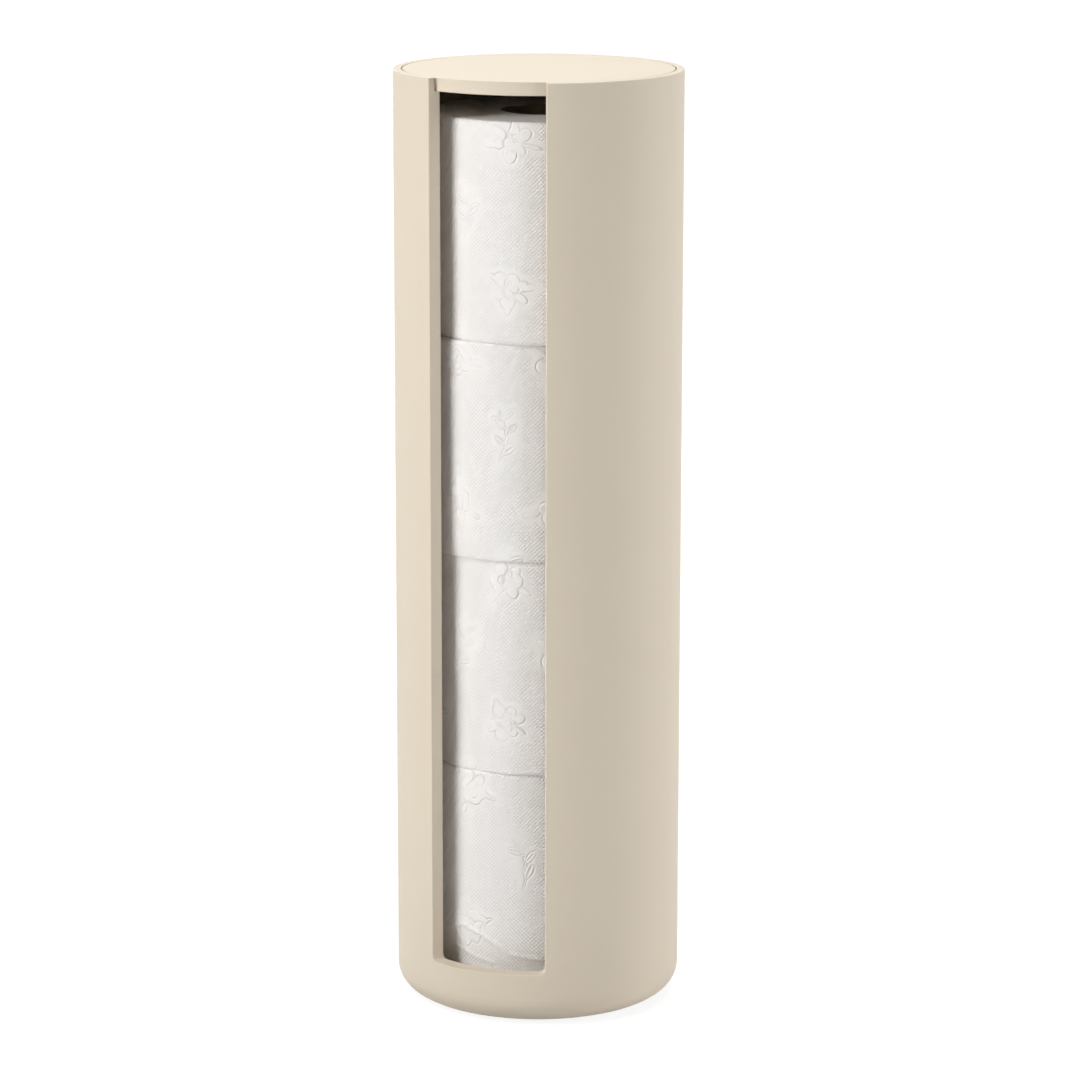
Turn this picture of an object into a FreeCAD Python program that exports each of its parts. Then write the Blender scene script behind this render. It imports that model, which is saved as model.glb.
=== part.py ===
# Storage holder for four toilet rolls: a tall slotted tube with a lift-off lid and a weighted base.
# Millimetres, +Z up, origin under the middle of the base. The slot looks towards -Y.
import FreeCAD, Part
import math
import os
import Sketcher

doc = FreeCAD.newDocument("RollHolder")

# Driving sizes, one named cell each
driving_sizes = {
    # Paper rolls and their cores
    "roll_radius": 53.5,
    "roll_height": 98.1,
    "roll_edge_rounding": 1.2,
    "core_radius": 20.5,
    "core_wall": 1.2,
    "core_glue_gap": 0.1,
    # Tube
    "roll_clearance": 5.0,
    "tube_wall": 6.5,
    "stack_headroom": 12.1,
    "floor_thickness": 3.3,
    "floor_rounding": 2.0,
    "base_rounding": 11.4,
    "rim_rounding": 0.5,
    "rim_inner_rounding": 0.2,
    # Front slot
    "slot_angle": 50.5,
    "sill_rise": 8.5,
    "slot_corner_radius": 2.8,
    "slot_edge_rounding": 0.3,
    "cut_overrun": 10.0,
    # Lid
    "lid_thickness": 6.0,
    "lid_plate": 3.2,
    "lid_skirt_width": 5.0,
    "lid_seat_width": 2.9,
    "lid_side_gap": 0.5,
    "lid_edge_rounding": 0.3,
    # Hollow base and what closes it
    "foot_land_width": 3.1,
    "pad_thickness": 3.0,
    "pad_stand_out": 0.8,
    "pad_inset": 2.0,
    "pad_rounding": 0.6,
    "cover_thickness": 3.5,
    "cover_side_gap": 0.3,
    "ballast_thickness": 5.5,
    "ballast_headroom": 1.0,
    "ballast_side_gap": 2.5,
    "ballast_chamfer": 0.8,
    # Screws of the base cover
    "screw_count": 3,
    "boss_inset": 7.5,
    "boss_radius": 4.0,
    "screw_radius": 1.5,
    "screw_length": 7.0,
    "screw_thread_gap": 0.1,
    "screw_tip_gap": 0.5,
    "screw_hole_gap": 0.2,
    "screw_head_radius": 2.75,
    "screw_head_height": 1.8,
    "screw_head_gap": 0.25,
}

# How far each roll stands off the tube's axis, bottom roll first, as shares of the roll clearance
roll_shift_shares = [(0.0, 0.2), (0.4, 0.15), (0.1, -0.12), (0.86, -0.2)]

sheet = doc.addObject("Spreadsheet::Sheet", "Sizes")
for row, (alias, amount) in enumerate(driving_sizes.items(), start=1):
    sheet.set(f"A{row}", alias)
    sheet.set(f"B{row}", str(amount))
    sheet.setAlias(f"B{row}", alias)
doc.recompute()

# Radii worked out from the driving sizes
bore_radius = "Sizes.roll_radius + Sizes.roll_clearance"
outer_radius = f"{bore_radius} + Sizes.tube_wall"
seat_radius = f"{bore_radius} + Sizes.lid_seat_width"
lid_radius = f"{seat_radius} - Sizes.lid_side_gap"
recess_radius = f"{outer_radius} - Sizes.base_rounding - Sizes.foot_land_width"
cover_radius = f"{recess_radius} - Sizes.cover_side_gap"
boss_circle = f"{recess_radius} - Sizes.boss_inset"
ballast_radius = f"{boss_circle} - Sizes.boss_radius - Sizes.ballast_side_gap"

# Levels, from the surface that the pad rests on upwards
cover_bottom = "Sizes.pad_thickness"
head_seat = f"{cover_bottom} + Sizes.screw_head_height + Sizes.screw_head_gap"
cover_top = f"{cover_bottom} + Sizes.cover_thickness"
ballast_top = f"{cover_top} + Sizes.ballast_thickness"
floor_under = f"{ballast_top} + Sizes.ballast_headroom"
floor_top = f"{floor_under} + Sizes.floor_thickness"
sill_top = f"{floor_top} + Sizes.sill_rise"
seat_level = f"{floor_top} + {len(roll_shift_shares)} * Sizes.roll_height + Sizes.stack_headroom"
rim_top = f"{seat_level} + Sizes.lid_thickness"


def value(expression):
    return float(sheet.evalExpression(expression))


def new_body(label):
    body = doc.addObject("PartDesign::Body", label)
    body.Label = label
    return body


def new_sketch(body, name, role, level="0"):
    # An empty sketch on one of the body's origin planes, raised along the plane's normal
    sketch = body.newObject("Sketcher::SketchObject", name)
    plane = next(feature for feature in body.Origin.OriginFeatures if feature.Role == role)
    sketch.AttachmentSupport = [(plane, "")]
    sketch.MapMode = "FlatFace"
    sketch.setExpression("AttachmentOffset.Base.z", level)
    return sketch


def place_point(sketch, geometry, position, corner):
    # Ties one sketch point to two expressions, measured from the origin
    for axis, expression in enumerate(corner):
        if expression == "0":
            sketch.addConstraint(Sketcher.Constraint("PointOnObject", geometry, position, axis - 2))
            continue
        kind = ("DistanceX", "DistanceY")[axis]
        constraint = Sketcher.Constraint(kind, -1, 1, geometry, position, value(expression))
        index = sketch.addConstraint(constraint)
        sketch.setExpression(f"Constraints[{index}]", expression)


def outline_sketch(body, name, role, corners):
    # A closed outline of straight lines
    sketch = new_sketch(body, name, role)
    points = [FreeCAD.Vector(value(across), value(up), 0) for across, up in corners]
    count = len(points)
    for k in range(count):
        sketch.addGeometry(Part.LineSegment(points[k], points[(k + 1) % count]), False)
    for k in range(count):
        sketch.addConstraint(Sketcher.Constraint("Coincident", k, 2, (k + 1) % count, 1))
        place_point(sketch, k, 1, corners[k])
    return sketch


def circle_sketch(body, name, level, centre, radius):
    sketch = new_sketch(body, name, "XY_Plane", level)
    middle = FreeCAD.Vector(value(centre[0]), value(centre[1]), 0)
    circle = Part.Circle(middle, FreeCAD.Vector(0, 0, 1), value(radius))
    sketch.addGeometry(circle, False)
    place_point(sketch, 0, 3, centre)
    index = sketch.addConstraint(Sketcher.Constraint("Radius", 0, value(radius)))
    sketch.setExpression(f"Constraints[{index}]", radius)
    return sketch


def extrude(body, kind, sketch, length, reverse=False):
    # kind is Pad, which grows along the sketch's normal, or Pocket, which cuts against it
    feature = body.newObject(f"PartDesign::{kind}", f"{sketch.Name}{kind}")
    feature.Profile = sketch
    feature.Reversed = reverse
    feature.setExpression("Length", length)
    return feature


def turn(body, kind, sketch, angle="360", both_ways=False):
    # kind is Revolution, which adds, or Groove, which cuts, about the tube's axis
    feature = body.newObject(f"PartDesign::{kind}", f"{sketch.Name}{kind}")
    feature.Profile = sketch
    feature.ReferenceAxis = (sketch, ["V_Axis"])
    feature.Midplane = both_ways
    feature.setExpression("Angle", angle)
    return feature


def repeat_round(body, features):
    # Repeats features round the tube's axis, once per screw
    pattern = body.newObject("PartDesign::PolarPattern", f"{features[0].Name}Round")
    pattern.Originals = features
    pattern.Axis = (features[0].Profile[0], ["N_Axis"])
    pattern.Angle = 360
    pattern.setExpression("Occurrences", "Sizes.screw_count")
    body.Tip = pattern


def dress(body, kind, name, size_name, amount, wanted):
    # Rounds or chamfers the wanted edges of the body as it is so far
    doc.recompute()
    base = body.Tip
    edges = [f"Edge{k}" for k, edge in enumerate(base.Shape.Edges, start=1) if wanted(edge)]
    if not edges:
        raise RuntimeError(f"{body.Label}: no edge found for {name}")
    feature = body.newObject(f"PartDesign::{kind}", name)
    feature.Base = (base, edges)
    feature.setExpression(size_name, amount)
    doc.recompute()


def near(first, second):
    return abs(first - second) < Part.Precision.approximation()


def ring_edge(radius, level):
    # A test for circular edges of one radius at one level
    def wanted(edge):
        curve = edge.Curve
        if not isinstance(curve, Part.Circle):
            return False
        return near(curve.Radius, value(radius)) and near(curve.Center.z, value(level))
    return wanted


def sill_corner(edge):
    # The straight edges where the slot's side walls meet its sill
    if not isinstance(edge.Curve, Part.Line):
        return False
    return all(near(vertex.Z, value(sill_top)) for vertex in edge.Vertexes)


def slot_lip(edge):
    # The slot's edges on the tube's outside, over the rim and in the bore below the lid seat
    middle = edge.valueAt((edge.FirstParameter + edge.LastParameter) / 2)
    radius = FreeCAD.Vector(middle.x, middle.y, 0).Length
    off_front = FreeCAD.Vector(middle.x, middle.y, 0).getAngle(FreeCAD.Vector(0, -1, 0))
    in_slot = off_front < math.radians(value("Sizes.slot_angle"))
    above_sill = middle.z > value(sill_top) or near(middle.z, value(sill_top))
    outside = radius > value(seat_radius) and not near(radius, value(seat_radius))
    return in_slot and above_sill and (outside or near(radius, value(bore_radius)))


def make_tube():
    body = new_body("tube")
    section = [
        (recess_radius, "Sizes.pad_stand_out"),
        (outer_radius, "Sizes.pad_stand_out"),
        (outer_radius, rim_top),
        (seat_radius, rim_top),
        (seat_radius, seat_level),
        (bore_radius, seat_level),
        (bore_radius, floor_top),
        ("0", floor_top),
        ("0", floor_under),
        (recess_radius, floor_under),
    ]
    turn(body, "Revolution", outline_sketch(body, "TubeSection", "XZ_Plane", section))
    dress(body, "Fillet", "FootRounding", "Radius", "Sizes.base_rounding",
          ring_edge(outer_radius, "Sizes.pad_stand_out"))
    dress(body, "Fillet", "FloorRounding", "Radius", "Sizes.floor_rounding",
          ring_edge(bore_radius, floor_top))
    dress(body, "Fillet", "RimRounding", "Radius", "Sizes.rim_rounding",
          ring_edge(outer_radius, rim_top))

    # Front slot with radial side walls, open through the rim
    inside = f"-({bore_radius} - Sizes.cut_overrun)"
    outside = f"-({outer_radius} + Sizes.cut_overrun)"
    above = f"{rim_top} + Sizes.cut_overrun"
    window = [(inside, sill_top), (inside, above), (outside, above), (outside, sill_top)]
    slot = outline_sketch(body, "SlotWindow", "YZ_Plane", window)
    turn(body, "Groove", slot, "Sizes.slot_angle", both_ways=True)
    dress(body, "Fillet", "SlotCorners", "Radius", "Sizes.slot_corner_radius", sill_corner)
    dress(body, "Fillet", "SlotLips", "Radius", "Sizes.slot_edge_rounding", slot_lip)
    dress(body, "Fillet", "RimInside", "Radius", "Sizes.rim_inner_rounding",
          ring_edge(seat_radius, rim_top))

    # Bosses under the floor that take the cover's screws
    boss_place = (boss_circle, "0")
    boss = circle_sketch(body, "Boss", cover_top, boss_place, "Sizes.boss_radius")
    boss_pad = extrude(body, "Pad", boss, f"{floor_under} - ({cover_top})")
    pilot_radius = "Sizes.screw_radius + Sizes.screw_thread_gap"
    pilot = circle_sketch(body, "Pilot", cover_top, boss_place, pilot_radius)
    pilot_depth = f"{head_seat} + Sizes.screw_length + Sizes.screw_tip_gap - ({cover_top})"
    pilot_pocket = extrude(body, "Pocket", pilot, pilot_depth, reverse=True)
    repeat_round(body, [boss_pad, pilot_pocket])


def make_lid():
    body = new_body("lid")
    skirt_inside = f"{lid_radius} - Sizes.lid_skirt_width"
    plate_under = f"{rim_top} - Sizes.lid_plate"
    section = [
        ("0", rim_top),
        (lid_radius, rim_top),
        (lid_radius, seat_level),
        (skirt_inside, seat_level),
        (skirt_inside, plate_under),
        ("0", plate_under),
    ]
    turn(body, "Revolution", outline_sketch(body, "LidSection", "XZ_Plane", section))
    for name, level in (("LidTopEdge", rim_top), ("LidLowEdge", seat_level)):
        dress(body, "Fillet", name, "Radius", "Sizes.lid_edge_rounding", ring_edge(lid_radius, level))


def make_base_cover():
    body = new_body("base_cover")
    disc = circle_sketch(body, "CoverDisc", cover_bottom, ("0", "0"), cover_radius)
    extrude(body, "Pad", disc, "Sizes.cover_thickness")
    hole_place = (boss_circle, "0")
    hole_radius = "Sizes.screw_radius + Sizes.screw_hole_gap"
    hole = circle_sketch(body, "ScrewHole", cover_bottom, hole_place, hole_radius)
    hole_pocket = extrude(body, "Pocket", hole, "Sizes.cover_thickness", reverse=True)
    sink_radius = "Sizes.screw_head_radius + Sizes.screw_head_gap"
    sink = circle_sketch(body, "HeadSink", cover_bottom, hole_place, sink_radius)
    sink_pocket = extrude(body, "Pocket", sink, f"{head_seat} - {cover_bottom}", reverse=True)
    repeat_round(body, [hole_pocket, sink_pocket])


def make_ballast_disc():
    body = new_body("ballast_disc")
    disc = circle_sketch(body, "BallastDisc", cover_top, ("0", "0"), ballast_radius)
    extrude(body, "Pad", disc, "Sizes.ballast_thickness")
    dress(body, "Chamfer", "BallastEdge", "Size", "Sizes.ballast_chamfer",
          ring_edge(ballast_radius, ballast_top))


def make_anti_slip_pad():
    body = new_body("anti_slip_pad")
    pad_radius = f"{cover_radius} - Sizes.pad_inset"
    disc = circle_sketch(body, "PadDisc", "0", ("0", "0"), pad_radius)
    extrude(body, "Pad", disc, "Sizes.pad_thickness")
    dress(body, "Fillet", "PadEdge", "Radius", "Sizes.pad_rounding", ring_edge(pad_radius, "0"))


def make_base_screws():
    screws = []
    for k in range(int(value("Sizes.screw_count"))):
        turned = f"(360 deg * {k} / Sizes.screw_count)"
        head = doc.addObject("Part::Cylinder", f"ScrewHead{k}")
        head.setExpression("Radius", "Sizes.screw_head_radius")
        head.setExpression("Height", "Sizes.screw_head_height")
        head.setExpression("Placement.Base.z", f"{head_seat} - Sizes.screw_head_height")
        shank = doc.addObject("Part::Cylinder", f"ScrewShank{k}")
        shank.setExpression("Radius", "Sizes.screw_radius")
        shank.setExpression("Height", "Sizes.screw_length")
        shank.setExpression("Placement.Base.z", head_seat)
        screw = doc.addObject("Part::Fuse", f"Screw{k}")
        screw.Base = head
        screw.Tool = shank
        screw.setExpression("Placement.Base.x", f"({boss_circle}) * cos({turned})")
        screw.setExpression("Placement.Base.y", f"({boss_circle}) * sin({turned})")
        screws.append(screw)
    group = doc.addObject("Part::Compound", "base_screws")
    group.Label = "base_screws"
    group.Links = screws


def make_roll(k, shift_shares):
    # One paper roll on its core, standing on the roll below it or on the floor
    hollow_radius = "Sizes.core_radius + Sizes.core_glue_gap"
    paper = new_body(f"roll_{k + 1}_paper")
    section = [
        (hollow_radius, "0"),
        ("Sizes.roll_radius", "0"),
        ("Sizes.roll_radius", "Sizes.roll_height"),
        (hollow_radius, "Sizes.roll_height"),
    ]
    turn(paper, "Revolution", outline_sketch(paper, f"PaperSection{k}", "XZ_Plane", section))
    for name, level in ((f"PaperLowEdge{k}", "0"), (f"PaperTopEdge{k}", "Sizes.roll_height")):
        dress(paper, "Fillet", name, "Radius", "Sizes.roll_edge_rounding",
              ring_edge("Sizes.roll_radius", level))
    core = new_body(f"roll_{k + 1}_core")
    wall = circle_sketch(core, f"CoreOutside{k}", "0", ("0", "0"), "Sizes.core_radius")
    extrude(core, "Pad", wall, "Sizes.roll_height")
    bore = circle_sketch(core, f"CoreBore{k}", "0", ("0", "0"), "Sizes.core_radius - Sizes.core_wall")
    extrude(core, "Pocket", bore, "Sizes.roll_height", reverse=True)
    for piece in (paper, core):
        for axis, share in zip("xy", shift_shares):
            piece.setExpression(f"Placement.Base.{axis}", f"{share} * Sizes.roll_clearance")
        piece.setExpression("Placement.Base.z", f"{floor_top} + {k} * Sizes.roll_height")


make_tube()
make_lid()
make_base_cover()
make_ballast_disc()
make_base_screws()
make_anti_slip_pad()
for k, shift_shares in enumerate(roll_shift_shares):
    make_roll(k, shift_shares)
doc.recompute()

# Nothing is written unless every object worked out
for thing in doc.Objects:
    if "Invalid" in thing.State or "Error" in thing.State:
        raise RuntimeError(f"{thing.Label} failed: {thing.State}")
sub_parts = [thing for thing in doc.Objects if thing.TypeId in ("PartDesign::Body", "Part::Compound")]
os.makedirs("parts", exist_ok=True)
for part in sub_parts:
    if part.Shape.isNull() or not part.Shape.isValid():
        raise RuntimeError(f"{part.Label} has no valid shape")
for part in sub_parts:
    part.Shape.exportStep(f"parts/{part.Label}.step")
    print(f"{part.Label}: {len(part.Shape.Solids)} solids, {part.Shape.Volume / 1000:.2f} cm3")
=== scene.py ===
import math

import bpy
import numpy as np
from mathutils import Euler, Matrix, Vector


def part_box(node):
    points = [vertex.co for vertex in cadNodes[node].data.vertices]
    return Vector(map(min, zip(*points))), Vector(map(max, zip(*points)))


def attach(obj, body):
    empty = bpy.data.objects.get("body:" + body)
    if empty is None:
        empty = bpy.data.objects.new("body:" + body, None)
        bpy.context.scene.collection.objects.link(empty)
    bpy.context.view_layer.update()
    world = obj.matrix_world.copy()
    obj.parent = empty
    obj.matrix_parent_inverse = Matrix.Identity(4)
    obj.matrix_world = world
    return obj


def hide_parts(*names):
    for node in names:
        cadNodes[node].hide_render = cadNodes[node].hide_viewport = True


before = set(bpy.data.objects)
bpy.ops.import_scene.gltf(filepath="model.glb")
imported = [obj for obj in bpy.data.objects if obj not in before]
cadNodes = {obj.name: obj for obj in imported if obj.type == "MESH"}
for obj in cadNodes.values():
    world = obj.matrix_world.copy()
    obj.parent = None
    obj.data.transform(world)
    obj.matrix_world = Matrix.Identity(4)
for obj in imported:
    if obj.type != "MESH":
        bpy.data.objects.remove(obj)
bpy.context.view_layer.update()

fullTurn = 2 * math.pi

# The photograph is square and looks a little down on the holder, from the right of the slot's middle
photoView = {
    "lens": 135.61,       # mm, on Blender's 36 mm sensor
    "bearing": 22.2,      # degrees from the slot's middle towards +X
    "distance": 1.8133,   # m, level, from the tube's axis
    "height": 0.6122,     # m above the floor
    "pitch": 12.459,      # degrees below level
    "tilt": 0.065,        # degrees anticlockwise about the line of sight
    "sidestep": 0.00077,  # m to the camera's right
}


def levelWay(bearing):
    # Level direction at a bearing in degrees, where 0 is straight out of the slot
    angle = math.radians(bearing)
    return Vector((math.sin(angle), -math.cos(angle), 0))


def placeCamera(view):
    camera = bpy.data.objects.new("photo_camera", bpy.data.cameras.new("photo_camera"))
    bpy.context.scene.collection.objects.link(camera)
    camera.data.lens = view["lens"]
    spot = levelWay(view["bearing"]) * view["distance"]
    spot += levelWay(view["bearing"] + 90) * view["sidestep"]
    spot.z = view["height"]
    camera.location = spot
    level = Euler((math.radians(90 - view["pitch"]), 0, math.radians(view["bearing"]))).to_matrix()
    camera.rotation_euler = (level @ Matrix.Rotation(math.radians(view["tilt"]), 3, "Z")).to_euler()
    bpy.context.scene.camera = camera


placeCamera(photoView)
print("camera placed")


def newMaterial(name):
    material = bpy.data.materials.new(name)
    material.use_nodes = True
    tree = material.node_tree
    return material, tree, tree.nodes["Principled BSDF"]


def fill(tree, node, inputs):
    # Numbers are set on a node's sockets, and other nodes' outputs are linked to them
    for key, value in inputs.items():
        if isinstance(value, bpy.types.NodeSocket):
            tree.links.new(value, node.inputs[key])
        else:
            node.inputs[key].default_value = value


def put(tree, kind, inputs, **properties):
    # One new shader node with its properties and inputs
    node = tree.nodes.new(kind)
    for key, value in properties.items():
        setattr(node, key, value)
    fill(tree, node, inputs)
    return node


def noiseOn(tree, place, scale, detail):
    noise = put(tree, "ShaderNodeTexNoise", {"Vector": place, "Scale": scale, "Detail": detail})
    return noise.outputs["Fac"]


def between(tree, factor, low, high):
    # A number that runs from low to high with the factor
    span = put(tree, "ShaderNodeMapRange", {"Value": factor, "To Min": low, "To Max": high})
    return span.outputs["Result"]


def toneBetween(tree, factor, first, second):
    # Sockets 6 and 7 of a mix node are its two colours, and its output 2 is the mixed colour
    inputs = {"Factor": factor, 6: (*first, 1), 7: (*second, 1)}
    return put(tree, "ShaderNodeMix", inputs, data_type="RGBA").outputs[2]


def calc(tree, operation, *values):
    inputs = dict(enumerate(values))
    return put(tree, "ShaderNodeMath", inputs, operation=operation).outputs["Value"]


def bumpFrom(tree, height, distance):
    # The height runs from 0 to 1 and stands for that distance in metres
    return put(tree, "ShaderNodeBump", {"Height": height, "Distance": distance}).outputs["Normal"]


# Warm beige moulded plastic with a silky, finely grained coat
softTouch = {
    "tone": (0.740, 0.654, 0.527),
    "deepTone": (0.713, 0.628, 0.506),
    "cloudScale": 14.0,
    "cloudDetail": 3.0,
    "grainScale": 2600.0,
    "grainDetail": 2.0,
    "grainHeight": 0.000012,
    "roughness": (0.50, 0.60),
    "specular": 0.35,
}


def makeSoftTouch(finish):
    material, tree, shader = newMaterial("soft_touch_beige")
    place = put(tree, "ShaderNodeTexCoord", {}).outputs["Object"]
    clouds = noiseOn(tree, place, finish["cloudScale"], finish["cloudDetail"])
    grain = noiseOn(tree, place, finish["grainScale"], finish["grainDetail"])
    fill(tree, shader, {
        "Base Color": toneBetween(tree, clouds, finish["tone"], finish["deepTone"]),
        "Roughness": between(tree, grain, *finish["roughness"]),
        "Normal": bumpFrom(tree, grain, finish["grainHeight"]),
        "Specular IOR Level": finish["specular"],
    })
    return material


# Plain recycled plastic under the base
coverPlastic = {
    "tone": (0.64, 0.565, 0.47),
    "deepTone": (0.60, 0.525, 0.435),
    "grainScale": 900.0,
    "grainDetail": 4.0,
    "grainHeight": 0.00004,
    "roughness": (0.42, 0.58),
}


def makeCoverPlastic(finish):
    material, tree, shader = newMaterial("base_cover_plastic")
    place = put(tree, "ShaderNodeTexCoord", {}).outputs["Object"]
    grain = noiseOn(tree, place, finish["grainScale"], finish["grainDetail"])
    fill(tree, shader, {
        "Base Color": toneBetween(tree, grain, finish["tone"], finish["deepTone"]),
        "Roughness": between(tree, grain, *finish["roughness"]),
        "Normal": bumpFrom(tree, grain, finish["grainHeight"]),
    })
    return material


# Zinc-plated steel: the ballast is rolled plate, the screws are turned wire
platedSteel = {
    "tone": (0.56, 0.57, 0.58),
    "deepTone": (0.44, 0.45, 0.47),
    "roughness": (0.24, 0.42),
    "plateStretch": (40.0, 900.0, 900.0),    # streaks per metre along each axis
    "wireStretch": (700.0, 700.0, 5000.0),
    "streakDetail": 5.0,
    "scratchHeight": 0.00002,
}


def makePlatedSteel(name, finish, stretch):
    material, tree, shader = newMaterial(name)
    place = put(tree, "ShaderNodeTexCoord", {}).outputs["Object"]
    drawn = put(tree, "ShaderNodeMapping", {"Vector": place, "Scale": stretch}).outputs["Vector"]
    streaks = noiseOn(tree, drawn, 1.0, finish["streakDetail"])   # the stretch has set the scale
    fill(tree, shader, {
        "Base Color": toneBetween(tree, streaks, finish["tone"], finish["deepTone"]),
        "Roughness": between(tree, streaks, *finish["roughness"]),
        "Normal": bumpFrom(tree, streaks, finish["scratchHeight"]),
        "Metallic": 1.0,
    })
    return material


# Closed-cell rubber foam pad
padRubber = {
    "tone": (0.075, 0.072, 0.068),
    "deepTone": (0.045, 0.043, 0.041),
    "cellScale": 1500.0,
    "cellHeight": 0.00012,
    "roughness": (0.78, 0.95),
}


def makePadRubber(finish):
    material, tree, shader = newMaterial("pad_foam_rubber")
    place = put(tree, "ShaderNodeTexCoord", {}).outputs["Object"]
    foam = put(tree, "ShaderNodeTexVoronoi", {"Vector": place, "Scale": finish["cellScale"]})
    cells = foam.outputs["Distance"]
    fill(tree, shader, {
        "Base Color": toneBetween(tree, cells, finish["deepTone"], finish["tone"]),
        "Roughness": between(tree, cells, *finish["roughness"]),
        "Normal": bumpFrom(tree, cells, finish["cellHeight"]),
    })
    return material


# Grey-brown board of the cores, with the fibres lying along the helix
coreBoard = {
    "tone": (0.47, 0.40, 0.32),
    "deepTone": (0.36, 0.30, 0.235),
    "fibreScale": (160.0, 1100.0, 1.0),
    "fibreDetail": 5.0,
    "fibreHeight": 0.00007,
    "lean": 0.9,          # radians between the fibres and level
    "roughness": 0.92,
    "around": 120,
    "rows": 60,
    "wall": 0.0012,       # m
    "plyWidth": 0.058,    # m, along the core's axis
    "plyStep": 0.00025,   # m, edge of one ply over the next in the bore
    "outerShare": 0.3,    # share of that step on the outside, where the paper presses it down
    "helixTurn": 0.3,     # share of a turn by which the helix moves on from core to core
    "edgeWave": 0.00025,  # m, how uneven the cut ends are
    "cutWaves": 7,        # most waves round a cut end
    "cutSeeds": (500, 600),
    "sharpAngle": 50.0,   # degrees, above which an edge isn't smoothed
}


def makeCoreBoard(finish):
    material, tree, shader = newMaterial("core_board")
    wrap = put(tree, "ShaderNodeUVMap", {}, uv_map="windMap").outputs["UV"]
    lean = {"Vector": wrap, "Rotation": (0, 0, finish["lean"]), "Scale": finish["fibreScale"]}
    helix = put(tree, "ShaderNodeMapping", lean).outputs["Vector"]
    fibres = noiseOn(tree, helix, 1.0, finish["fibreDetail"])   # the mapping has set the scale
    fill(tree, shader, {
        "Base Color": toneBetween(tree, fibres, finish["tone"], finish["deepTone"]),
        "Normal": bumpFrom(tree, fibres, finish["fibreHeight"]),
        "Roughness": finish["roughness"],
    })
    return material


# Two-ply tissue: a fine diamond lattice is pressed into the sheet, with sprigs and blossoms left smooth
tissue = {
    "tone": (0.932, 0.907, 0.884),
    "shadeTone": (0.902, 0.877, 0.854),
    "roughness": 0.96,
    "specular": 0.15,
    "latticeStep": 0.00187,     # m between one raised diamond and the next
    "latticeHeight": 0.00031,
    "latticeLean": 0.54,        # share of the rows that rise to the right
    "latticeFrom": (0.0012, 0.0034),   # m from a figure's outline, where it begins and is whole
    "lineWidth": 0.00042,
    "lineDepth": 0.00040,
    "pressScale": 140.0,        # well pressed and faint parts of the lines, per metre
    "pressDetail": 1.0,
    "pressRange": (0.28, 0.60),
    "sheen": 0.35,
    "endSheen": 0.8,            # the cut fibres stand up on the ends
    "sheenRoughness": 0.6,
    "fibreScale": 2200.0,
    "fibreDetail": 4.0,
    "fibreHeight": 0.00005,
    "layerScale": (24.0, 3600.0, 1.0),
    "layerDetail": 4.0,
    "layerHeight": 0.00022,
}


def pressedLine(tree, gap, width):
    # 1 along the line where the gap is 0, falling off to both sides
    share = calc(tree, "DIVIDE", gap, width)
    return calc(tree, "EXPONENT", calc(tree, "MULTIPLY", calc(tree, "MULTIPLY", share, share), -1.0))


def latticeRelief(tree, wrap, outline, finish):
    # Two sets of slanting rows cross in the lattice, which stops short of the figures
    along = put(tree, "ShaderNodeSeparateXYZ", {"Vector": wrap})
    rows = []
    for operation, share in (("SUBTRACT", finish["latticeLean"]), ("ADD", 1 - finish["latticeLean"])):
        slant = calc(tree, operation, along.outputs["X"], along.outputs["Y"])
        wave = calc(tree, "COSINE", calc(tree, "MULTIPLY", slant, fullTurn / finish["latticeStep"]))
        rows.append(calc(tree, "MULTIPLY", wave, share * finish["latticeHeight"] / 2))
    start, whole = finish["latticeFrom"]
    pressed = put(tree, "ShaderNodeMapRange", {
        "Value": outline, "From Min": start, "From Max": whole,
    }, interpolation_type="SMOOTHSTEP").outputs["Result"]
    return calc(tree, "MULTIPLY", calc(tree, "ADD", *rows), pressed)


def lineRelief(tree, wrap, gaps, finish):
    # The figures' lines are pressed in, well in some places and faintly in others
    lines = [pressedLine(tree, gap, finish["lineWidth"]) for gap in gaps]
    faint, full = finish["pressRange"]
    press = put(tree, "ShaderNodeMapRange", {
        "Value": noiseOn(tree, wrap, finish["pressScale"], finish["pressDetail"]),
        "From Min": faint, "From Max": full, "To Max": finish["lineDepth"],
    }).outputs["Result"]
    return calc(tree, "MULTIPLY", calc(tree, "MAXIMUM", *lines), press)


def makeTissue(finish):
    material, tree, shader = newMaterial("tissue_sheet")
    wrap = put(tree, "ShaderNodeUVMap", {}, uv_map="windMap").outputs["UV"]
    # Distances from the nearest figure's outline, below 0 inside the figure, and from the lines within it
    outline = put(tree, "ShaderNodeAttribute", {}, attribute_name="figureGap").outputs["Fac"]
    inner = put(tree, "ShaderNodeAttribute", {}, attribute_name="innerGap").outputs["Fac"]
    lattice = latticeRelief(tree, wrap, outline, finish)
    sunk = lineRelief(tree, wrap, (outline, inner), finish)
    sheet = bumpFrom(tree, calc(tree, "SUBTRACT", lattice, sunk), 1.0)   # this height is in metres already
    fibres = noiseOn(tree, wrap, finish["fibreScale"], finish["fibreDetail"])
    fuzz = put(tree, "ShaderNodeBump", {
        "Height": fibres, "Distance": finish["fibreHeight"], "Normal": sheet,
    })
    fill(tree, shader, {
        "Base Color": toneBetween(tree, fibres, finish["tone"], finish["shadeTone"]),
        "Normal": fuzz.outputs["Normal"],
        "Roughness": finish["roughness"],
        "Specular IOR Level": finish["specular"],
        "Sheen Weight": finish["sheen"],
        "Sheen Roughness": finish["sheenRoughness"],
    })
    return material


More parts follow.
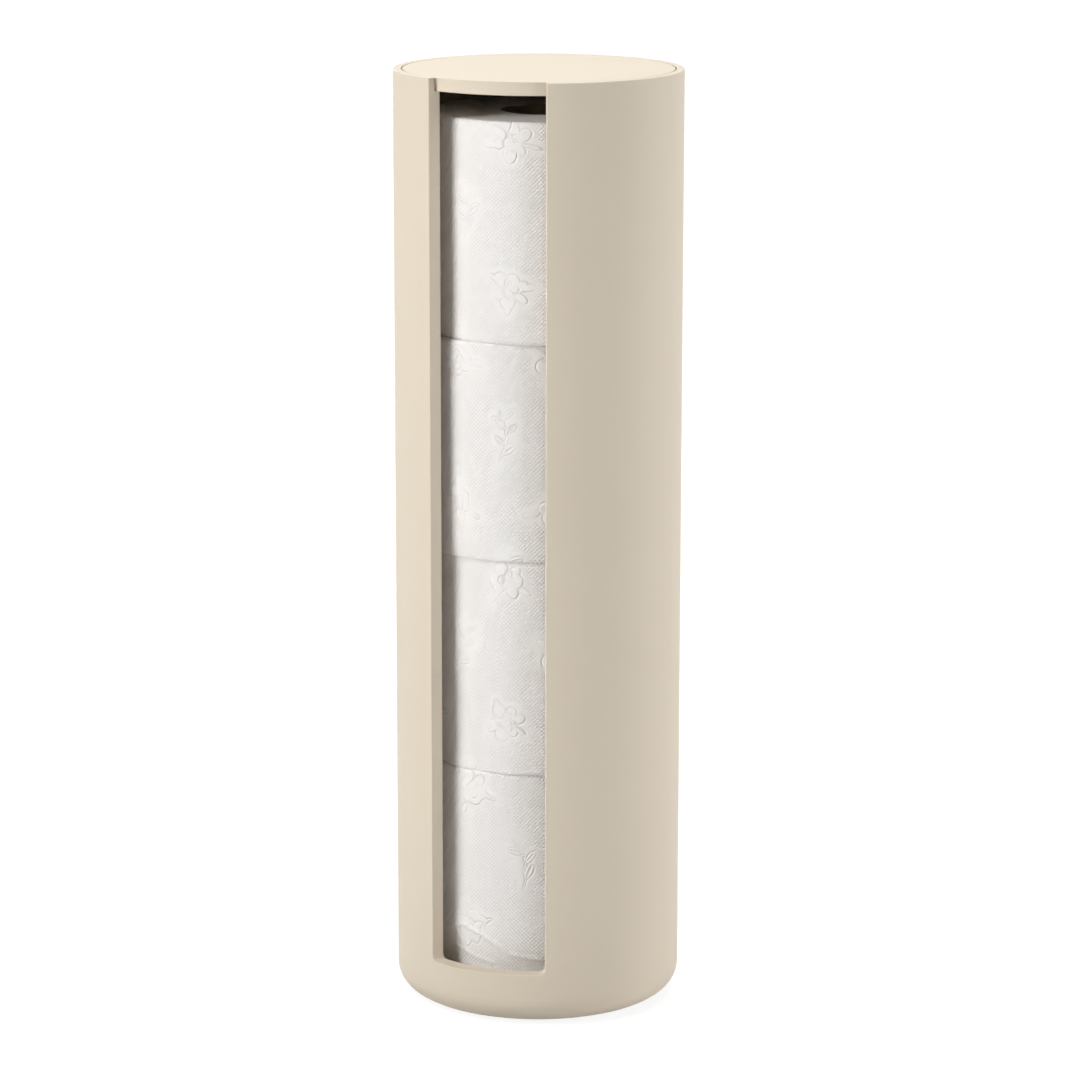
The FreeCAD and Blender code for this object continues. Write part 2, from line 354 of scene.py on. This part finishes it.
def makeTissueEnds(finish):
    # The cut edges of the wound sheet, which show as fine rings
    material, tree, shader = newMaterial("tissue_layers")
    wrap = put(tree, "ShaderNodeUVMap", {}, uv_map="windMap").outputs["UV"]
    # The mapping sets the scale of the rings, so the noise has none of its own
    rings = put(tree, "ShaderNodeMapping", {"Vector": wrap, "Scale": finish["layerScale"]})
    layers = noiseOn(tree, rings.outputs["Vector"], 1.0, finish["layerDetail"])
    fill(tree, shader, {
        "Base Color": toneBetween(tree, layers, finish["tone"], finish["shadeTone"]),
        "Normal": bumpFrom(tree, layers, finish["layerHeight"]),
        "Roughness": finish["roughness"],
        "Specular IOR Level": finish["specular"],
        "Sheen Weight": finish["endSheen"],
        "Sheen Roughness": finish["sheenRoughness"],
    })
    return material


beige = makeSoftTouch(softTouch)
nodeFinish = {
    "tube": beige,
    "lid": beige,
    "base_cover": makeCoverPlastic(coverPlastic),
    "ballast_disc": makePlatedSteel("ballast_plate_steel", platedSteel, platedSteel["plateStretch"]),
    "base_screws": makePlatedSteel("screw_wire_steel", platedSteel, platedSteel["wireStretch"]),
    "anti_slip_pad": makePadRubber(padRubber),
}
for node, material in nodeFinish.items():
    for slot in cadNodes[node].material_slots:
        slot.material = material
print("finishes on", len(nodeFinish), "CAD nodes")


def smoothStep(values, start, end):
    share = np.clip((values - start) / (end - start), 0, 1)
    return share * share * (3 - 2 * share)


def waveField(angle, level, seed, mostAround, mostUp, terms=24):
    # Soft swells that close on themselves round a roll, mostly between -1 and 1
    draw = np.random.default_rng(seed)
    field = 0
    for term in range(terms):
        around = draw.integers(1, mostAround + 1)
        upward = draw.uniform(-mostUp, mostUp)
        field = field + np.cos(around * angle + upward * level + draw.uniform(0, fullTurn))
    return field / math.sqrt(2 * terms)


# Embossed figures, drawn as closed ovals in a square from -0.5 to 0.5. Ovals of one layer melt into each
# other. A ring's "middle" is how far its ovals lie from the blossom's middle, and "size" is their half axes.
figures = {
    "wander": 0.28,         # share by which places and sizes vary
    "turnWander": 0.6,      # how far that moves an oval along its ring, against the step from oval to oval
    "petals": {"count": 6, "middle": 0.23, "size": (0.15, 0.125)},
    "innerPetals": {"count": 4, "middle": 0.095, "size": (0.095, 0.072)},
    "innerTurn": 0.5,       # radians on from the outer petals
    "sepals": {"count": 3, "middle": 0.40, "size": (0.16, 0.06)},
    "sepalTurn": -2.2,      # radians
    "stemBow": 0.15,
    "stemParts": 6,
    "stemOverlap": 0.6,     # half length of a stem's part, against the step from part to part
    "stemHalf": 0.022,
    "leaves": 5,
    "leafSize": (0.15, 0.066),
    "leafLean": 0.9,        # radians between a leaf and the stem
    "leafReach": 0.17,      # from the stem to a leaf's middle
    "veinSize": (0.085, 0.010),
}
tinySlope = 1e-9   # keeps an oval's middle from a division by 0


def ringOfOvals(draw, form, ring, start):
    # Each oval is its middle, its two half axes and its turn
    ovals = []
    for k in range(ring["count"]):
        vary = 1 + draw.uniform(-form["wander"], form["wander"], 4)
        turn = start + fullTurn * (k + form["turnWander"] * (vary[3] - 1)) / ring["count"]
        out = ring["middle"] * vary[0]
        longHalf, shortHalf = ring["size"][0] * vary[1], ring["size"][1] * vary[2]
        ovals.append((out * math.cos(turn), out * math.sin(turn), longHalf, shortHalf, turn))
    return ovals


def blossomOvals(draw, form):
    start = draw.uniform(0, fullTurn)
    petals = ringOfOvals(draw, form, form["petals"], start)
    sepals = ringOfOvals(draw, form, form["sepals"], form["sepalTurn"])
    inner = ringOfOvals(draw, form, form["innerPetals"], start + form["innerTurn"])
    return petals + sepals, inner


def stemAt(form, up):
    # How far to the side the bowed stem is at a share of its height
    return form["stemBow"] * (math.sin(math.pi * up) - 0.5)


def sprigOvals(draw, form):
    outer, inner = [], []
    for k in range(form["leaves"]):
        vary = 1 + draw.uniform(-form["wander"], form["wander"], 4)
        up = (k + vary[0]) / (form["leaves"] + 1)
        side = -1 if k % 2 else 1
        lean = math.pi / 2 - side * form["leafLean"] * vary[1]
        middleX = stemAt(form, up) + form["leafReach"] * math.cos(lean)
        middleY = up - 0.5 + form["leafReach"] * math.sin(lean)
        longHalf, shortHalf = form["leafSize"][0] * vary[2], form["leafSize"][1] * vary[3]
        outer.append((middleX, middleY, longHalf, shortHalf, lean))
        inner.append((middleX, middleY, *form["veinSize"], lean))
    for k in range(form["stemParts"]):
        up = (k + 0.5) / form["stemParts"]
        lean = math.atan2(1, form["stemBow"] * math.pi * math.cos(math.pi * up))
        partHalf = form["stemOverlap"] / form["stemParts"]
        outer.append((stemAt(form, up), up - 0.5, partHalf, form["stemHalf"], lean))
    return outer, inner


def gapToOvals(points, ovals):
    # Nearly the distance from each point to the nearest oval's edge, below 0 inside an oval
    nearest = np.full(len(points), np.inf)
    for x, y, longHalf, shortHalf, turn in ovals:
        off = points - (x, y)
        along = off[:, 0] * math.cos(turn) + off[:, 1] * math.sin(turn)
        across = off[:, 1] * math.cos(turn) - off[:, 0] * math.sin(turn)
        share = np.hypot(along / longHalf, across / shortHalf)
        slope = np.hypot(along / longHalf ** 2, across / shortHalf ** 2) + tinySlope
        nearest = np.minimum(nearest, share * (share - 1) / slope)
    return nearest


# The wound paper: sizes in metres, angles in degrees from the slot's middle towards +X
rollForm = {
    "around": 540,
    "rows": 140,
    "edgeRows": 6,
    "endRings": 28,
    "edgeRounding": 0.0017,
    "edgeWander": 0.25,        # share by which the rounding varies round the roll
    "edgeWaves": 14,           # most waves round an edge
    "edgeSeeds": (100, 200),   # added to a roll's own seed, for its lower and its upper edge
    "swell": 0.00022,          # slack in the outer turns
    "swellsAround": 9,         # most waves round the roll
    "swellsUp": 9.0,           # radians over its height
    "plyStep": 0.00022,        # edge of the last sheet
    "tailBearing": 165.0,
    "figureSize": 0.0225,
    "figureSpacing": (0.0480, 0.0326),
    "figureStagger": 0.5,      # share of the spacing, by which every other row is moved sideways
    "figureDrop": 0.25,        # and by which the lowest row is below the roll's lower edge
    "figureSeed": 700,
    "figureSway": 0.5,         # radians either way, by which a figure is turned
    "pillow": 0.00024,         # the sheet stands up within a figure and beside it
    "pillowReach": (-0.0010, 0.0030),
    "farthestGap": 0.006,
    "tuckSlope": 0.14,         # how steeply a tucked edge runs inward at first
    "tuckDepth": 0.0030,       # and how far in all
    "tuckBlend": 0.0005,
    "foldRise": 0.00055,
    "foldWidth": 0.0010,
    "bandPitch": 0.0033,       # groups of turns that stand out on the ends
    "bandSink": 0.00035,
    "bandMiddle": 0.5,         # shares of the sink
    "bandSpread": 0.25,
    "bandMost": 1.2,
    "bandsAround": 5,          # most waves round an end
    "bandsIn": 60.0,           # radians over the roll's radius
    "endSeeds": (300, 400),
    "bandBlend": 0.35,         # share of the way in to the core, over which the bands begin
    "bakeWidth": 0.284,        # side of the square that the bake's map stands for
    "bakeGap": 0.003,
}
# Each roll is turned its own way in the tube. Below its tuck line, drawn as (bearing, level), the outer
# sheet runs inward, and the folds are soft ridges in the sheet.
rolls = [
    {
        "turn": 14.0, "seed": 41,
        "tuck": [
            (-180, 0.002), (-60, 0.004), (-34, 0.021), (-18, 0.024), (-7, 0.0205), (3, 0.0165),
            (14, 0.0150), (28, 0.0150), (60, 0.006), (180, 0.002),
        ],
        "folds": [
            [(-30, 0.0215), (-18, 0.0245), (-7, 0.0212), (3, 0.0165)],
            [(-22, 0.020), (-17, 0.012)],
            [(-25, 0.0140), (-14, 0.0105), (-2, 0.0085)],
            [(8, 0.0135), (24, 0.0115)],
        ],
    },
    {"turn": -21.0, "seed": 42, "tuck": [], "folds": []},
    {"turn": 5.0, "seed": 43, "tuck": [], "folds": []},
    {"turn": 31.0, "seed": 44, "tuck": [], "folds": []},
]


def figureGaps(form, roll, angle, level, radius, height):
    # Distance of each place from the nearest figure's outline and from the nearest line within a figure
    draw = np.random.default_rng(roll["seed"] + form["figureSeed"])
    gaps = np.full((2, *level.shape), form["farthestGap"])
    acrossStep, upStep = form["figureSpacing"]
    columns = round(fullTurn * radius / acrossStep)
    size = form["figureSize"]
    window = size / 2 + form["farthestGap"]
    for row in range(math.ceil(height / upStep) + 1):
        for column in range(columns):
            sway = draw.uniform(-form["figureSway"], form["figureSway"])
            across = column + form["figureStagger"] * (row % 2)
            middleAngle = fullTurn * across / columns + math.radians(roll["turn"])
            middleLevel = upStep * (row - form["figureDrop"])
            away = (angle - middleAngle + math.pi) % fullTurn - math.pi
            near = (np.abs(away) * radius < window) & (np.abs(level - middleLevel) < window)
            if not near.any():
                continue
            right, up = away[near] * radius / size, (level[near] - middleLevel) / size
            spots = np.stack([
                right * math.cos(sway) + up * math.sin(sway),
                up * math.cos(sway) - right * math.sin(sway),
            ], 1)
            drawFigure = blossomOvals if (column + row) % 2 else sprigOvals
            for gap, ovals in zip(gaps, drawFigure(draw, figures)):
                gap[near] = np.minimum(gap[near], gapToOvals(spots, ovals) * size)
    return gaps


def distanceToLine(points, corners):
    # Shortest distance from each point to a line through the corners
    starts, runs = corners[:-1], np.diff(corners, axis=0)
    offset = points[..., None, :] - starts
    share = np.clip((offset * runs).sum(-1) / (runs * runs).sum(-1), 0, 1)
    return np.sqrt(((offset - share[..., None] * runs) ** 2).sum(-1)).min(-1)


def paperRelief(form, roll, angle, level, radius, height, gaps):
    # How far the side stands in from its largest radius, at each angle and level
    swells = waveField(angle, level / height, roll["seed"], form["swellsAround"], form["swellsUp"])
    relief = swells * form["swell"]
    tail = math.radians(form["tailBearing"] + roll["turn"])
    relief -= form["plyStep"] * (((angle - tail) / fullTurn) % 1)
    relief += form["pillow"] * (1 - smoothStep(gaps, *form["pillowReach"]))
    centred = (angle + math.pi) % fullTurn - math.pi
    if roll["tuck"]:
        bearings, levels = np.array(roll["tuck"]).T
        blend = form["tuckBlend"]
        below = blend * np.logaddexp(0, (np.interp(np.degrees(centred), bearings, levels) - level) / blend)
        relief -= form["tuckDepth"] * (1 - np.exp(-below * form["tuckSlope"] / form["tuckDepth"]))
    for fold in roll["folds"]:
        corners = np.array([(math.radians(bearing) * radius, up) for bearing, up in fold])
        gap = distanceToLine(np.stack([centred * radius, level], -1), corners)
        relief += form["foldRise"] * np.exp(-(gap / form["foldWidth"]) ** 2)
    return relief - relief.max()


def ringGrid(first, rows, columns):
    # Quads between rows of a closed ring of points, with each corner's row and unwrapped column
    row, column = np.meshgrid(np.arange(rows - 1), np.arange(columns), indexing="ij")
    rowOf = np.stack([row, row, row + 1, row + 1], -1).reshape(-1, 4)
    columnOf = np.stack([column, column + 1, column + 1, column], -1).reshape(-1, 4)
    return first + rowOf * columns + columnOf % columns, rowOf, columnOf


def placesOf(middle, base, reach, angle, level):
    # Points on circles about an upright axis through the middle
    places = np.broadcast_arrays(
        middle[0] + reach * np.sin(angle), middle[1] - reach * np.cos(angle), base + level)
    return np.stack(places, -1).reshape(-1, 3)


def paperSide(form, roll, angle, height):
    # Inset, level and share of the relief, in rows from the lower end's rounded edge to the upper end's
    lowRound, topRound = (
        form["edgeRounding"]
        * (1 + form["edgeWander"] * waveField(angle, 0, roll["seed"] + step, form["edgeWaves"], 0))
        for step in form["edgeSeeds"]
    )
    bend = (np.arange(form["edgeRows"]) / form["edgeRows"] * math.pi / 2)[:, None]
    topBend = bend + bend[1]
    rise = (np.arange(form["rows"] + 1) / form["rows"])[:, None]
    inset = np.concatenate([
        lowRound * (1 - np.sin(bend)),
        np.zeros((len(rise), angle.size)),
        topRound * (1 - np.cos(topBend)),
    ])
    level = np.concatenate([
        lowRound * (1 - np.cos(bend)),
        lowRound + (height - lowRound - topRound) * rise,
        height - topRound * (1 - np.sin(topBend)),
    ])
    share = np.concatenate([np.sin(bend), np.ones_like(rise), np.cos(topBend)])
    return inset, level, share


def paperEnd(form, seed, angle, outer, edge, hole, radius):
    # Reach and level of an end's rings, from the rounded edge in to the core, with the turns in uneven bands
    inward = (np.arange(1, form["endRings"] + 1) / form["endRings"])[:, None]
    reach = outer + (hole - outer) * inward
    turns = reach / form["bandPitch"] - angle / fullTurn
    uneven = waveField(angle, reach / radius, seed, form["bandsAround"], form["bandsIn"])
    bands = form["bandMiddle"] + form["bandSpread"] * np.cos(turns * fullTurn) + form["bandSpread"] * uneven
    sink = form["bandSink"] * np.clip(bands, 0, form["bandMost"]) * smoothStep(inward, 0, form["bandBlend"])
    return reach, abs(edge - sink)


def addFaces(skin, corners, wind, bake, finish):
    # Faces, with their corners' places on both maps in the same order
    skin["faces"].extend(corners.tolist())
    skin["wind"].append(wind.reshape(-1, 2))
    skin["bake"].append(bake.reshape(-1, 2))
    skin["finish"].extend([finish] * len(corners))


def addSide(skin, form, radius, run):
    # The bake's map has the side in two strips, one half turn above the other
    gap, columns = form["bakeGap"], form["around"]
    corners, rowOf, columnOf = ringGrid(0, len(run), columns)
    unrolled = columnOf / columns * fullTurn * radius
    secondHalf = (columnOf.min(1) >= columns // 2)[:, None]
    bake = np.stack([
        gap + unrolled - fullTurn * radius / 2 * secondHalf,
        gap + run[rowOf] + (run[-1] + gap) * secondHalf,
    ], -1)
    addFaces(skin, corners, np.stack([unrolled, run[rowOf]], -1), bake / form["bakeWidth"], 0)


def addEnds(skin, form, offAxis, radius, run):
    # The bake's map has the ends as two discs beside the strips, and the wall of the hole above them
    gap, columns, rings = form["bakeGap"], form["around"], form["endRings"]
    half = columns // 2
    strip = fullTurn * radius / 2
    discX = strip + 2 * gap + radius
    lowDisc, topDisc = (discX, gap + radius), (discX, 2 * gap + 3 * radius)
    lowFirst = len(run) * columns
    topFirst = lowFirst + rings * half

    def addToEnd(corners, around, disc):
        # The wound map runs round the roll and in from its edge
        reach = np.hypot(offAxis[corners][..., 0], offAxis[corners][..., 1])
        turn = around / half * fullTurn
        wind = np.stack([turn * radius, run[-1] + radius - reach], -1)
        bake = np.stack([disc[0] + reach * np.cos(turn), disc[1] + reach * np.sin(turn)], -1)
        addFaces(skin, corners, wind, bake / form["bakeWidth"], 1)

    for first, disc in ((lowFirst, lowDisc), (topFirst, topDisc)):
        corners, rowOf, columnOf = ringGrid(first, rings, half)
        addToEnd(corners, columnOf, disc)

    # Three triangles join each step of an end's outer ring to two steps of the side's edge
    step = np.arange(half)
    onward = (step + 1) % half
    around = np.stack([step, step + 1, step, step + 0.5, step + 1], -1)
    lowRing = lowFirst + (rings - 1) * half
    topEdge = (len(run) - 1) * columns
    seams = [
        (lowRing, 0, lowDisc, ((0, 1, 3), (0, 3, 2), (1, 4, 3))),
        (topFirst, topEdge, topDisc, ((0, 3, 1), (0, 2, 3), (1, 3, 4))),
    ]
    for ring, edge, disc, triangles in seams:
        index = np.stack([
            ring + step, ring + onward,
            edge + 2 * step, edge + 2 * step + 1, edge + (2 * step + 2) % columns,
        ], -1)
        for triangle in triangles:
            addToEnd(index[:, triangle], around[:, triangle], disc)

    # The hole's wall lies against the core
    topRing = topFirst + (rings - 1) * half
    wall = np.stack([topRing + step, topRing + onward, lowFirst + onward, lowFirst + step], -1)
    across = np.stack([step, step + 1, step + 1, step], -1) / half * strip
    up = np.broadcast_to([0.0, 0.0, gap, gap], (half, 4))
    wallMap = np.stack([across + gap, up + (2 * run[-1] + 4 * gap)], -1)
    addFaces(skin, wall, wallMap, wallMap / form["bakeWidth"], 1)


def makePaper(number, roll, form, sheetFinish, endFinish):
    node = "roll_%d_paper" % number
    low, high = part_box(node)
    coreLow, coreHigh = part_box("roll_%d_core" % number)
    middle = ((low[0] + high[0]) / 2, (low[1] + high[1]) / 2)
    radius = (high[0] - low[0]) / 2
    height = high[2] - low[2]
    hole = (coreHigh[0] - coreLow[0]) / 2

    angle = (np.arange(form["around"]) / form["around"] * fullTurn)[None, :]
    inset, level, share = paperSide(form, roll, angle, height)
    allAround = np.broadcast_to(angle, level.shape)
    outerGap, innerGap = figureGaps(form, roll, allAround, level, radius, height)
    relief = paperRelief(form, roll, allAround, level, radius, height, outerGap)
    reach = radius - inset + relief * share
    endAngle = angle[:, ::2]
    lowSeed, topSeed = (roll["seed"] + step for step in form["endSeeds"])
    lowReach, lowLevel = paperEnd(form, lowSeed, endAngle, reach[0, ::2], 0, hole, radius)
    topReach, topLevel = paperEnd(form, topSeed, endAngle, reach[-1, ::2], height, hole, radius)
    verts = np.concatenate([
        placesOf(middle, low[2], reach, angle, level),
        placesOf(middle, low[2], lowReach[::-1], endAngle, lowLevel[::-1]),
        placesOf(middle, low[2], topReach, endAngle, topLevel),
    ])

    # How far each row of the side has run from the lower end, along the sheet
    run = np.concatenate([[0], np.cumsum(np.hypot(np.diff(reach[:, 0]), np.diff(level[:, 0])))])
    skin = {"faces": [], "wind": [], "bake": [], "finish": []}
    addSide(skin, form, radius, run)
    addEnds(skin, form, verts[:, :2] - middle, radius, run)

    mesh = bpy.data.meshes.new("roll_%d_tissue" % number)
    mesh.from_pydata(verts.tolist(), [], skin["faces"])
    for name, spots in (("windMap", skin["wind"]), ("OFBake", skin["bake"])):
        layer = mesh.uv_layers.new(name=name)
        layer.data.foreach_set("uv", np.concatenate(spots).astype(np.float32).ravel())
    for name, gaps in (("figureGap", outerGap), ("innerGap", innerGap)):
        gapOf = np.full(len(verts), form["farthestGap"], np.float32)
        gapOf[:gaps.size] = gaps.ravel()
        mesh.attributes.new(name, "FLOAT", "POINT").data.foreach_set("value", gapOf)
    mesh.materials.append(sheetFinish)
    mesh.materials.append(endFinish)
    mesh.polygons.foreach_set("material_index", np.array(skin["finish"], np.int32))
    mesh.polygons.foreach_set("use_smooth", np.ones(len(skin["faces"]), bool))
    mesh.update()
    piece = bpy.data.objects.new(mesh.name, mesh)
    bpy.context.scene.collection.objects.link(piece)
    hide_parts(node)
    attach(piece, "roll_%d" % number)
    return piece


def makeCore(number, form, finish):
    # A spiral-wound tube: the inner ply's edge runs up the bore as a helix
    node = "roll_%d_core" % number
    low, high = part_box(node)
    middle = ((low[0] + high[0]) / 2, (low[1] + high[1]) / 2)
    radius = (high[0] - low[0]) / 2
    height = high[2] - low[2]
    columns, rows = form["around"], form["rows"]
    angle = (np.arange(columns) / columns * fullTurn)[None, :]
    up = (np.arange(rows + 1) / rows)[:, None]
    lowCut, topCut = (
        form["edgeWave"] * (0.5 + 0.5 * waveField(angle, 0, seed + number, form["cutWaves"], 0)).clip(0, 1)
        for seed in form["cutSeeds"]
    )
    level = lowCut + (height - lowCut - topCut) * up
    helix = (level / form["plyWidth"] - angle / fullTurn + form["helixTurn"] * number) % 1
    outside = radius - form["outerShare"] * form["plyStep"] * helix
    inside = radius - form["wall"] + form["plyStep"] * helix

    # Rows run up the outside and down the bore, and the last joins the first
    reach = np.concatenate([outside, inside[::-1]])
    levels = np.concatenate([level, level[::-1]])
    corners, rowOf, columnOf = ringGrid(0, len(reach) + 1, columns)
    corners = corners % (len(reach) * columns)
    verts = placesOf(middle, low[2], reach, angle, levels)
    wrap = np.stack([columnOf / columns * fullTurn * radius, rowOf / rows * height], -1)
    mesh = bpy.data.meshes.new("roll_%d_board_tube" % number)
    mesh.from_pydata(verts.tolist(), [], corners.tolist())
    mesh.uv_layers.new(name="windMap").data.foreach_set("uv", wrap.astype(np.float32).ravel())
    mesh.materials.append(finish)
    mesh.polygons.foreach_set("use_smooth", np.ones(len(corners), bool))
    mesh.set_sharp_from_angle(angle=math.radians(form["sharpAngle"]))
    mesh.update()
    piece = bpy.data.objects.new(mesh.name, mesh)
    bpy.context.scene.collection.objects.link(piece)
    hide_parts(node)
    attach(piece, "roll_%d" % number)


sheetFinish = makeTissue(tissue)
endFinish = makeTissueEnds(tissue)
boardFinish = makeCoreBoard(coreBoard)
for number, roll in enumerate(rolls, 1):
    paper = makePaper(number, roll, rollForm, sheetFinish, endFinish)
    makeCore(number, coreBoard, boardFinish)
    print("roll", number, "wound with", len(paper.data.polygons), "faces")


# A plain pale floor and a white room, with soft boxes round the holder
studio = {
    "floorSize": 30.0,
    "floorTone": (0.62, 0.62, 0.62, 1),
    "shownTone": (0.22, 0.22, 0.22, 1),   # the part of the floor's own shade that the camera sees
    "shownGlow": (0.87, 1.0),             # the rest of its white, near the holder and away from it
    "glowReach": (0.25, 1.1),             # m from the tube's axis
}
softBoxes = {
    "key_box": {
        "bearing": -37.0, "distance": 1.5, "height": 0.66, "size": (0.60, 0.45), "power": 12.4,
        "aimHeight": 0.22, "spread": 180.0,
    },
    "high_box": {
        "bearing": -36.0, "distance": 1.1, "height": 1.58, "size": (0.5, 0.5), "power": 1.36,
        "aimHeight": 0.0, "spread": 60.0,   # a grid keeps it off the upper walls
    },
    "right_box": {
        "bearing": 115.0, "distance": 1.5, "height": 0.28, "size": (1.0, 0.9), "power": 6.2,
        "aimHeight": 0.22, "spread": 180.0,
    },
    "side_box": {
        "bearing": 75.0, "distance": 1.5, "height": 0.28, "size": (0.8, 0.8), "power": 8.5,
        "aimHeight": 0.22, "spread": 180.0,
    },
    "top_box": {
        "bearing": 180.0, "distance": 1.5, "height": 3.95, "size": (3.0, 3.0), "power": 141.0,
        "aimHeight": 0.22, "spread": 180.0,
    },
}


def seenRay(tree):
    # 1 for what the camera sees straight, in a reflection or through something
    path = put(tree, "ShaderNodeLightPath", {})
    seen = calc(tree, "MAXIMUM", path.outputs["Is Camera Ray"], path.outputs["Is Glossy Ray"])
    return calc(tree, "MAXIMUM", seen, path.outputs["Is Transmission Ray"])


def makeFloor(room):
    reach = room["floorSize"] / 2
    mesh = bpy.data.meshes.new("studio_floor")
    corners = [(-reach, -reach, 0), (reach, -reach, 0), (reach, reach, 0), (-reach, reach, 0)]
    mesh.from_pydata(corners, [], [(0, 1, 2, 3)])
    floor = bpy.data.objects.new("studio_floor", mesh)
    bpy.context.scene.collection.objects.link(floor)
    material, tree, shader = newMaterial("studio_floor_white")
    tree.nodes.remove(shader)
    plain = put(tree, "ShaderNodeBsdfDiffuse", {"Color": room["floorTone"]})
    shade = put(tree, "ShaderNodeBsdfDiffuse", {"Color": room["shownTone"]})
    place = put(tree, "ShaderNodeTexCoord", {}).outputs["Object"]
    away = put(tree, "ShaderNodeVectorMath", {0: place}, operation="LENGTH").outputs["Value"]
    strength = put(tree, "ShaderNodeMapRange", {
        "Value": away, "From Min": room["glowReach"][0], "From Max": room["glowReach"][1],
        "To Min": room["shownGlow"][0], "To Max": room["shownGlow"][1],
    }).outputs["Result"]
    glow = put(tree, "ShaderNodeEmission", {"Strength": strength})
    shown = put(tree, "ShaderNodeAddShader", {0: shade.outputs[0], 1: glow.outputs[0]})
    mixed = put(tree, "ShaderNodeMixShader", {0: seenRay(tree), 1: plain.outputs[0], 2: shown.outputs[0]})
    tree.links.new(mixed.outputs[0], tree.nodes["Material Output"].inputs["Surface"])
    mesh.materials.append(material)


def makeRoom():
    # White where it is seen, with no light of its own
    world = bpy.data.worlds.new("white_room")
    world.use_nodes = True
    bpy.context.scene.world = world
    tree = world.node_tree
    fill(tree, tree.nodes["Background"], {"Color": (1, 1, 1, 1), "Strength": seenRay(tree)})


def placeSoftBox(name, box):
    lamp = bpy.data.lights.new(name, "AREA")
    lamp.shape = "RECTANGLE"
    lamp.size, lamp.size_y = box["size"]
    lamp.energy = box["power"]
    lamp.spread = math.radians(box["spread"])
    light = bpy.data.objects.new(name, lamp)
    bpy.context.scene.collection.objects.link(light)
    light.location = levelWay(box["bearing"]) * box["distance"] + Vector((0, 0, box["height"]))
    aim = Vector((0, 0, box["aimHeight"]))
    light.rotation_euler = (aim - light.location).to_track_quat("-Z", "Y").to_euler()


makeFloor(studio)
makeRoom()
for name, box in softBoxes.items():
    placeSoftBox(name, box)
bpy.context.scene.view_settings.view_transform = "Standard"
print("studio lit by", len(softBoxes), "soft boxes")
